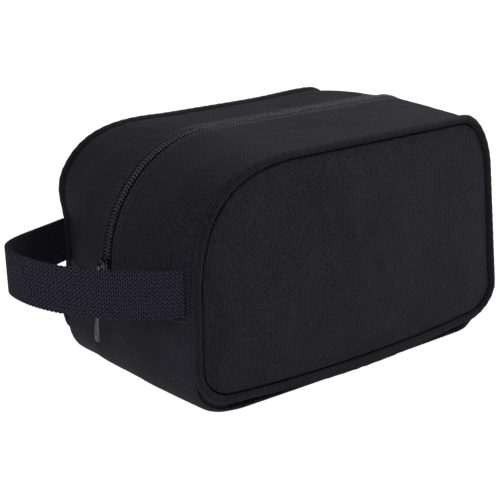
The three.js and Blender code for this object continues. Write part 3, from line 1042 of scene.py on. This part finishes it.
def sew(draft: Draft, face: Array, raised: Array, length: float) -> None:
    """Lays one row of stitches along a line of cloth, one short thread after another.

    Args:
        draft: Where the threads go.
        face: Points on the cloth, n x 3.
        raised: The same points a millimetre off the cloth.
        length: From one stitch to the next.
    """
    offsets = np.array([-0.42, -0.31, 0.0, 0.31, 0.42]) * length
    rise = np.array([-0.35, 0.05, 0.16, 0.05, -0.35])
    girth = np.array([0.12, 0.24, 0.27, 0.24, 0.12])
    run = walked(face)
    for middle in np.arange(length, run[-1] - length / 2, length):
        spot = read_off(middle + offsets, run, face)
        up = read_off(middle + offsets, run, raised) - spot
        path = spot + up * rise[:, None]
        draft.grid(tube(path, np.gradient(path, axis=0), up, girth, 6), capped=True)


@dataclass
class ZipStrip(HalfPart):
    """The gusset cloth beside the zip, with its folded edge, topstitching, lining, tape and coil."""

    slot_edge: float = 5.0
    stitch_rows: tuple[float, ...] = (7.0, 11.0)
    stitch_length: float = 3.2
    thickness: float = 1.2
    fold: float = 1.1
    coil_pitch: float = 2.5
    coil_middle: float = 1.55
    coil_drop: float = -0.35
    coil_reach: float = 1.3
    coil_height: float = 0.75
    wire: float = 0.56

    def build(self) -> None:
        """Makes every piece of this half of the gusset."""
        self._canvas()
        self._lining()
        self._tape()
        self._coil()
        self._stitches()

    def _rows(self, stride: int = 1) -> Array:
        """Steps round the outline from one lower end of the zip to the other."""
        return np.arange(0, self.steps.upper + 1, stride)

    def _lay(self, rows: Array, depth: Array, lift: Any = 0.0) -> Array:
        """Places on this half of the gusset."""
        return self.form.gusset(rows, self.side.value * depth, lift)

    def _declare(self, piece: Object, width: float) -> None:
        """Works out the strip's length along the zip, and does nothing with it."""
        length = self.form.middle_run[self.steps.upper]

    def _crumple(self, rows: Array, depth: Array) -> Array:
        """Works out how far the cloth stands off its smooth form.

        Args:
            rows: Steps round the outline.
            depth: Distances from the zip's plane.

        Returns:
            The heights, rows x depths.
        """
        form = self.form
        place = self._lay(rows, depth)
        seed = 31 if self.side is Side.FRONT else 32
        free = smooth(depth, 12, 30) * smooth(depth, form.depth - 2, form.depth - 26)
        soft = Wander(seed, 45, 120, 0.7).at(place) * free
        small = Wander(seed + 20, 12, 30, 0.16).at(place) * free
        pucker = Wander(seed + 40, 6, 12, 0.12).at(place) * smooth(depth, form.depth - 24, form.depth - 5)
        beat = 0.5 + 0.5 * np.cos(math.tau * form.middle_run[rows][:, None] / self.stitch_length)
        valley = sum(np.exp(-((depth - row) / 0.9) ** 2) for row in self.stitch_rows)
        gathers = Wander(seed + 60, 5, 11, 0.10).at(place) * smooth(depth, 24, 8)
        return soft + small + pucker + gathers - valley * (0.16 + 0.18 * beat)

    def _section(self) -> tuple[Array, Array]:
        """Draws the strip's section.

        Returns:
            Distances from the zip's plane and lifts off the outer face, all round the section.
        """
        seam = self.form.depth - Piping.radius
        edge, lining_edge = self.slot_edge + self.fold, 11.0
        main = np.concatenate([
            seam + LIP, np.linspace(seam - 6, 16, 24), np.linspace(15.2, edge, 15)])
        turn = np.radians(np.linspace(90, 270, 9)[1:-1])
        back = main[::-1]
        back = back[back > lining_edge]
        depth = np.concatenate([main, edge + self.fold * np.cos(turn), [edge, 9.0, 10.4], back])
        lift = np.concatenate([
            -groove(seam - main), self.fold * (np.sin(turn) - 1), [-2.2, -2.2, -1.3],
            -self.thickness - groove(seam - back)])
        if len(depth) % 2:
            spare = 60
            depth, lift = (np.insert(v, spare, (v[spare - 1] + v[spare]) / 2) for v in (depth, lift))
        return depth, lift

    def _canvas(self) -> None:
        """Makes the canvas strip."""
        form, rows = self.form, self._rows()
        depth, lift = self._section()
        grid = self._lay(rows, depth, lift[None] + self._crumple(rows, depth))
        across = walked(np.stack([depth, lift], axis=-1))
        uv = spread(np.append(across, across[-1] + self.thickness), form.middle_run[rows])
        draft = Draft().grid(grid, uv, capped=True)
        self._declare(self.hand_over(draft, "zip_gusset", "canvas", "zip_gusset"), form.depth)

    def _lining(self) -> None:
        """Makes the lining strip, which ends under the zip's tape."""
        form, rows = self.form, self._rows(2)
        hem, hidden = 14.0, 4.0
        depth = np.linspace(form.depth - hidden, hem + 0.5, 30)
        slack = self._crumple(rows, depth) + Wander(77, 20, 50, 0.15).at(form.gusset(rows, depth))
        high, low = (slack + level - 1.2 * smooth(depth, 20, 15) for level in LINING_LEVELS)
        uv = spread(depth, form.middle_run[rows])
        draft = Draft().shell(self._lay(rows, depth, high), self._lay(rows, depth, low), uv)
        self._declare(self.hand_over(draft, "lining_gusset", "lining", "gusset_lining"), form.depth - hem)

    def _tape(self) -> None:
        """Makes the woven tape that the coil is sewn to."""
        rows = self._rows()
        depth = np.array([0.5, 1.6, 2.7, 3.7, 4.5, 6.0, 10.0, 13.9])
        high = np.array([-1.35, -1.35, -1.35, -1.5, -2.2, -2.35, -2.35, -2.35])
        top, low = self._lay(rows, depth, high), self._lay(rows, depth, high - 0.5)
        draft = Draft().shell(top, low, spread(depth, self.form.middle_run[rows]))
        self.hand_over(draft, "zip_tape", "tape", "zip_tape")

    def _coil(self) -> None:
        """Winds the coil's turns along the zip line."""
        run = self.form.middle_run[self._rows()]
        start, end = run[0] + 2.5, run[-1] - 3.0
        points = 12
        count = int((end - start) / self.coil_pitch) * points
        turn = np.arange(count) / points + (0.5 if self.side is Side.FRONT else 0.0)
        angle = turn * math.tau
        along = start + turn * self.coil_pitch
        wave, lift = self.coil_reach * np.cos(angle), self.coil_height * np.sin(angle)
        path, centre = (
            self._on_line(along, self.coil_middle + share * wave, self.coil_drop + share * lift)
            for share in (1, 0))
        wire = tube(path, np.gradient(path, axis=0), path - centre, np.full(count, self.wire), 6)
        self.hand_over(Draft().grid(wire, capped=True), "coil", "nylon", "coil")

    def _on_line(self, along: Array, across: Array, high: Array) -> Array:
        """Lays points beside the zip line.

        Args:
            along: Distances walked along the zip.
            across: Distances from its middle.
            high: Heights above it.

        Returns:
            The places, n x 3.
        """
        form, rows = self.form, self._rows()
        run = form.middle_run[rows]
        out = read_off(along, run, form.middle_out[rows])
        spot = read_off(along, run, form.middle[rows]) + out * high[:, None]
        return np.stack([spot[:, 0], self.side.value * across, spot[:, 1]], axis=-1)

    def _stitches(self) -> None:
        """Lays the topstitching beside the zip."""
        rows = self._rows()
        draft = Draft()
        for row in self.stitch_rows:
            depth = np.array([row])
            cloth = self._crumple(rows, depth)
            face, raised = (self._lay(rows, depth, cloth + off)[:, 0] for off in (0.0, 1.0))
            sew(draft, face, raised, self.stitch_length)
        self.hand_over(draft, "topstitching", "thread")


@dataclass
class LowerGusset(Part):
    """The bottom of the bag with the lower ends, its lining and the seams across the ends."""

    thickness: float = 1.2
    inset: int = 6

    def build(self) -> None:
        """Makes the canvas, the lining and the stitches where both ends meet the zip's strips."""
        form, steps = self.form, self.steps
        rows = np.arange(steps.upper, steps.total + 1)
        seam = form.depth - Piping.radius
        lip = seam + LIP
        depth = np.concatenate([-lip, np.linspace(6 - seam, seam - 6, 66), lip[::-1]])
        place = form.gusset(rows, depth)
        free = smooth(np.abs(depth), form.depth - 2, form.depth - 26) * smooth(place[..., 2], 1.0, 22.0)
        slack = free * (Wander(51, 45, 120, 0.7).at(place) + Wander(52, 12, 30, 0.15).at(place))
        face = slack - groove(seam - np.abs(depth))
        uv = spread(depth, form.middle_run[rows])
        offsets = 0.0, -self.thickness, 1.0
        outer, within, raised = (form.gusset(rows, depth, face + offset) for offset in offsets)
        outer[..., 2] = np.maximum(outer[..., 2], 0.0)
        draft = Draft().shell(outer, within, uv)
        piece = self.kit.make(draft, "gusset_bottom", "canvas", "lower_shell", "bottom_gusset")
        inner = slice(self.inset, -self.inset)
        high, low = (form.gusset(rows, depth[inner], slack[:, inner] + level) for level in LINING_LEVELS)
        draft = Draft().shell(high, low, uv[:, inner])
        piece = self.kit.make(draft, "lining_bottom", "lining", "lower_shell", "bottom_lining")
        draft = Draft()
        for row in (2, 4, -3, -5):
            sew(draft, outer[row, inner], raised[row, inner], ZipStrip.stitch_length)
        self.kit.make(draft, "topstitching_ends", "thread", "lower_shell")


@dataclass
class Handle(Part):
    """The webbing loop, one length whose ends go into the two end seams."""

    width: float = 32.0
    thickness: float = 2.4
    edge: float = 0.8
    reach: float = 78.0
    root_x: float = -142.0
    root_y: float = 81.0
    root_z: float = 91.0
    rise: float = 8.0
    power: float = 2.3
    pace: float = 0.5
    relief: float = 0.5
    fray: float = 0.25
    tuck: float = 1.8
    held: float = 0.03
    sunk: float = 140.0

    def _centre(self, share: Array) -> Array:
        """Centre line of the webbing at shares from -1 to 1, and a little beyond.

        Args:
            share: Shares of the way, 0 at the loop's far point and 1 at its rear seam.

        Returns:
            The points, n x 3.
        """
        out = self.reach * (1 - np.clip(np.abs(share), 0, 1) ** self.power)
        beyond = np.maximum(np.abs(share) - 1, 0)
        x = self.root_x - out + beyond * self.sunk
        z = self.root_z + self.rise * (out / self.reach) ** 2
        tuck = self.tuck * smooth(out, 5.5, 1.5) * np.sign(share)
        line = np.stack([x, np.clip(share, -1, 1) * self.root_y - tuck, z], axis=-1)
        return self.form.settle(line)

    def _section(self) -> tuple[Array, Array]:
        """Draws the band's section.

        Returns:
            Heights from the band's middle and lifts off it, all round the section.
        """
        half, depth = self.width / 2 - self.edge, self.thickness / 2
        flat = np.linspace(-half, half, int(self.width / self.pace) + 1)
        turn = np.arange(1, 4) / 4 * math.pi
        side = half + self.edge * np.sin(turn)
        face, bend = np.full(len(flat), depth), depth * np.cos(turn)
        return np.concatenate([flat, side, flat[::-1], -side]), np.concatenate([face, bend, -face, -bend])

    def build(self) -> None:
        """Weaves the band and makes it as a piece of the handle's body, baked where it stands."""
        fine = self._centre(np.linspace(-1 - self.held, 1 + self.held, 2000))
        run = walked(fine)
        at = np.arange(0, run[-1], self.pace)
        line = read_off(at, run, fine)
        along = np.gradient(line, axis=0)
        out = unit(np.stack([-along[:, 1], along[:, 0], np.zeros(len(at))], axis=-1))
        level, lift = self._section()
        relief = self.relief * (Finishes.webbing.height(at[:, None], level[None]) - 0.5)
        on_face = np.abs(lift) > 0.15 * self.thickness
        on_edge = np.abs(level) > self.width / 2 - 1.2
        loose = self.fray * np.sin(at * math.tau / Finishes.webbing.wide)[:, None]
        lifts = lift + np.sign(lift) * on_face * relief
        grid = line[:, None] + out[:, None] * lifts[..., None]
        grid[..., 2] += level + np.sign(level) * on_edge * loose
        draft = Draft().grid(grid, spread(np.append(level, level[0]), at), capped=True)
        nodes = "handle_webbing", "front_handle_end", "rear_handle_end"
        self.kit.make(draft, "webbing_loop", "webbing", "handle", *nodes)


@dataclass
class Slider(Part):
    """The zip's slider, its long pull and the stops at both ends of the zip.

    Its pieces are drawn lying flat, with x up the zip and z away from the bag.
    """

    bend: float = 86.0
    rest: float = 2.0
    rise: float = 4.5
    length: float = 52.0
    neck: float = 6.4
    tip_round: float = 3.4
    upper_face: float = 2.8
    lower_face: float = -3.9

    def build(self) -> None:
        """Makes the slider, the pull and the stops."""
        place = self._place()
        body, pull = Draft(), Draft()
        for top, way in ((self.upper_face, 1), (self.lower_face, -1)):
            self._plate(body, top, way)
        self._bridge(body)
        self.kit.make(body, "slider_body", "zinc", "zip_slider", "slider", place=place)
        self._eye(pull)
        self._tab(pull)
        droop = Matrix.Rotation(math.radians(-self.rest), 4, "Y")
        hang = Matrix.Translation((0, 0, self.rise * MM)) @ droop
        self.kit.make(pull, "slider_pull", "zinc", "zip_pull", "pull_tab", place=place @ hang)
        for node in ("front_top_stop", "rear_top_stop", "bottom_stop"):
            self._stop(node)

    def _place(self) -> Matrix:
        """Stands the slider on the zip's bend.

        Returns:
            The move from the origin to there.
        """
        form, turn = self.form, math.radians(self.rest)
        x = form.left + self.bend * (1 - math.cos(turn))
        z = form.top - self.bend * (1 - math.sin(turn))
        return Matrix.Translation(Vector((x, 0, z)) * MM) @ Matrix.Rotation(turn - math.pi / 2, 4, "Y")

    @staticmethod
    def _plate(draft: Draft, top: float, way: int) -> None:
        """Adds a slider plate, waisted at the tail and with flanges turned towards the zip.

        Args:
            draft: Where it goes.
            top: Height of its outer face.
            way: 1 for the upper plate, -1 for the lower one.
        """
        angle = around(48) + math.pi / 48
        x = 6.0 * boxed(np.cos(angle), 0.7)
        half = 3.3 + 1.0 * smooth(x, -4.0, 3.5)
        outline = np.stack([x, half * boxed(np.sin(angle), 0.6)], axis=-1)
        inset = np.array([0.75, 0.35, 0.1, 0.0, 0.0, 0.15, 0.55, 0.75, 0.9])
        level = np.array([0.0, 0.05, 0.25, 0.6, 1.5, 1.85, 1.85, 1.5, 1.1])
        size = np.linalg.norm(outline, axis=-1, keepdims=True)
        rings = outline[None] * (1 - inset[:, None, None] / size[None])
        high = np.broadcast_to((top - way * level)[:, None, None], (*rings.shape[:2], 1))
        draft.grid(np.concatenate([rings, high], axis=-1), capped=True)

    @staticmethod
    def _bridge(draft: Draft) -> None:
        """Adds the bridge that holds the pull, broad at its foot and tapered towards its nose.

        Args:
            draft: Where it goes.
        """
        turn = np.linspace(0, math.pi, 25)
        x = -0.2 - 4.4 * boxed(np.cos(turn), 0.55)
        path = np.stack([x, np.zeros(len(x)), 2.3 + 3.9 * np.sin(turn) ** 0.5], axis=-1)
        ahead = unit(np.gradient(path, axis=0))
        side = np.array([0.0, 1.0, 0.0])
        up = np.cross(ahead, side)
        angle = around(12)
        wide = np.linspace(1.75, 1.15, len(x))[:, None, None]
        across = boxed(np.cos(angle), 0.6)[None, :, None]
        thick = 0.55 * boxed(np.sin(angle), 0.6)[None, :, None]
        draft.grid(path[:, None] + side * wide * across + up[:, None] * thick, capped=True)

    @staticmethod
    def _eye(draft: Draft) -> None:
        """Adds the pull's eye, a rounded ring through the bridge.

        Args:
            draft: Where it goes.
        """
        turn, wire = around(40), 0.62
        x = -1.9 + 4.5 * boxed(np.cos(turn), 0.75)
        path = np.stack([x, 2.75 * boxed(np.sin(turn), 0.75), 0.85 - 0.25 * x], axis=-1)
        ahead = np.roll(path, -1, axis=0) - np.roll(path, 1, axis=0)
        out = np.tile([0.0, 0.0, 1.0], (len(path), 1))
        draft.grid(tube(path, ahead, out, np.full(len(path), wire), 10), rows=True)

    def _tab(self, draft: Draft) -> None:
        """Adds the pull's long tab, with a recess down its middle and a round tip.

        Args:
            draft: Where it goes.
        """
        x = -self.neck - (self.length - self.neck) * np.linspace(0, 1, 73) ** 0.9
        tip = x + self.length
        rounding = np.sqrt(1 - np.clip(1 - tip / self.tip_round, 0, 1) ** 2)
        half = (2.5 + 0.9 * smooth(tip, 20, 4) - 0.3 * smooth(x, -7, -10)) * rounding
        half = np.maximum(half, 0.02)
        across = np.sin(np.linspace(-math.pi / 2, math.pi / 2, 21))
        y = half[:, None] * across[None]
        edge = np.sqrt(1 - np.abs(across) ** 6)[None] * np.clip(half / 1.2, 0, 1)[:, None] ** 0.5
        recess = smooth(np.abs(y), 1.7, 1.2) * smooth(tip, 4.5, 5.5)[:, None] * smooth(x, -9, -11)[:, None]
        thick = 0.85 * edge - 0.42 * recess
        middle = 2.4 + 4.2 * smooth(x, 0, -self.length)
        x, middle = (np.broadcast_to(v[:, None], y.shape) for v in (x, middle))
        front, back = (np.stack([x, y, middle + way * thick], axis=-1) for way in (1, -1))
        draft.shell(front, back, np.zeros((*y.shape, 2)))

    def _stop(self, node: str) -> None:
        """Makes one stop: a staple of flat wire clenched over the end of the coil.

        Args:
            node: The frame's solid that it stands for.
        """
        low, high = (np.array(v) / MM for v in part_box(node))
        middle, half = (low + high) / 2, (high - low) / 2
        along, turn = np.linspace(-1, 1, 9), around(24)
        girth = (np.sqrt(1 - np.abs(along) ** 5) * 0.35 + 0.65)[:, None]
        girth[[0, -1]] = 0.7
        x = middle[0] + girth * half[0] * boxed(np.sin(turn), 0.5)
        y = middle[1] + girth * half[1] * boxed(np.cos(turn), 0.5)
        z = np.broadcast_to((middle[2] + half[2] * along)[:, None], x.shape)
        draft = Draft().grid(np.stack([x, y, z], axis=-1), capped=True)
        self.kit.make(draft, f"{node}_staple", "zinc", "lower_shell", node)


@dataclass
class Studio:
    """The pale floor, the soft lights and the camera."""

    azimuth: float = -37.7
    elevation: float = 17.2
    distance: float = 882.5
    aim: tuple[float, float, float] = (-31.5, 0.0, 77.3)
    roll: float = -1.6
    lens: float = 85.87
    lamp_size: float = 1.2
    lamp_aim: float = 0.08
    floor_reach: float = 6000.0
    floor_level: float = -0.3

    def build(self) -> None:
        """Sets up everything that isn't the bag."""
        self._world()
        self._floor()
        self._light("right", (1.34, -0.24, 0.83), 46.0)
        self._light("left", (-1.18, -0.68, 0.71), 19.0)
        self._light("back", (0.29, 0.81, 1.31), 10.0)
        self._camera()

    def _camera(self) -> None:
        """Stands the camera where the bag shows its front panel and the looped end."""
        turn, tilt, roll = (math.radians(v) for v in (self.azimuth, self.elevation, self.roll))
        back = Vector((math.sin(turn) * math.cos(tilt), -math.cos(turn) * math.cos(tilt), math.sin(tilt)))
        right = (-back).cross(Vector((0, 0, 1))).normalized()
        up = right.cross(-back)
        cosine, sine = math.cos(roll), math.sin(roll)
        right, up = right * cosine + up * sine, up * cosine - right * sine
        data = bpy.data.cameras.new("camera")
        data.lens, data.sensor_width = self.lens, 36.0
        data.clip_start, data.clip_end = 0.01, 50.0
        camera = place_object("camera", data)
        spot = (Vector(self.aim) + back * self.distance) * MM
        camera.matrix_world = Matrix.Translation(spot) @ Matrix((right, up, back)).transposed().to_4x4()
        bpy.context.scene.camera = camera

    def _world(self) -> None:
        """A plain white surrounding light."""
        world = bpy.data.worlds.new("studio")
        bpy.context.scene.world = world
        world.use_nodes = True
        world.node_tree.nodes.clear()
        sky = add(world.node_tree, "Background", {"Color": (1.0, 1.0, 1.0, 1.0), "Strength": 0.02})
        add(world.node_tree, "OutputWorld", {"Surface": sky})
        bpy.context.scene.view_settings.view_transform = "Standard"

    def _floor(self) -> None:
        """A wide pale floor that keeps only a faint shadow."""
        material, tree = blank("pale_floor")
        shader = add(tree, "BsdfPrincipled", {
            "Base Color": (0.1, 0.1, 0.1, 1.0), "Roughness": 0.9, "Specular IOR Level": 0.0,
            "Emission Color": (1.0, 1.0, 1.0, 1.0), "Emission Strength": 1.0})
        add(tree, "OutputMaterial", {"Surface": shader})
        ticks = np.linspace(-self.floor_reach, self.floor_reach, 9)
        grid = np.stack(np.meshgrid(ticks, ticks, [self.floor_level], indexing="ij"), axis=-1)[:, :, 0]
        floor = Draft().grid(grid, ring=False).make("floor", material)

    def _light(self, name: str, spot: tuple[float, float, float], power: float) -> None:
        """Adds a square soft light that faces the bag.

        Args:
            name: Its name.
            spot: Where it stands, in metres.
            power: Its power in watts.
        """
        data = bpy.data.lights.new(name, "AREA")
        data.size, data.energy = self.lamp_size, power
        light = place_object(name, data)
        light.location = spot
        way = Vector((0, 0, self.lamp_aim)) - Vector(spot)
        light.rotation_euler = way.to_track_quat("-Z", "Y").to_euler()


def main() -> None:
    """Builds the studio and then the bag, one sub-assembly after another."""
    logging.basicConfig(level=logging.INFO, format="%(name)s: %(message)s")
    Studio().build()
    finishes = Finishes()
    kit = Kit(BagForm(), {name: getattr(finishes, name).make() for name in SLOTS})
    LowerGusset(kit).build()
    for side in Side:
        Panel(kit, side).build()
        Piping(kit, side).build()
        ZipStrip(kit, side).build()
    Handle(kit).build()
    Slider(kit).build()


if __name__ == "__main__":
    main()
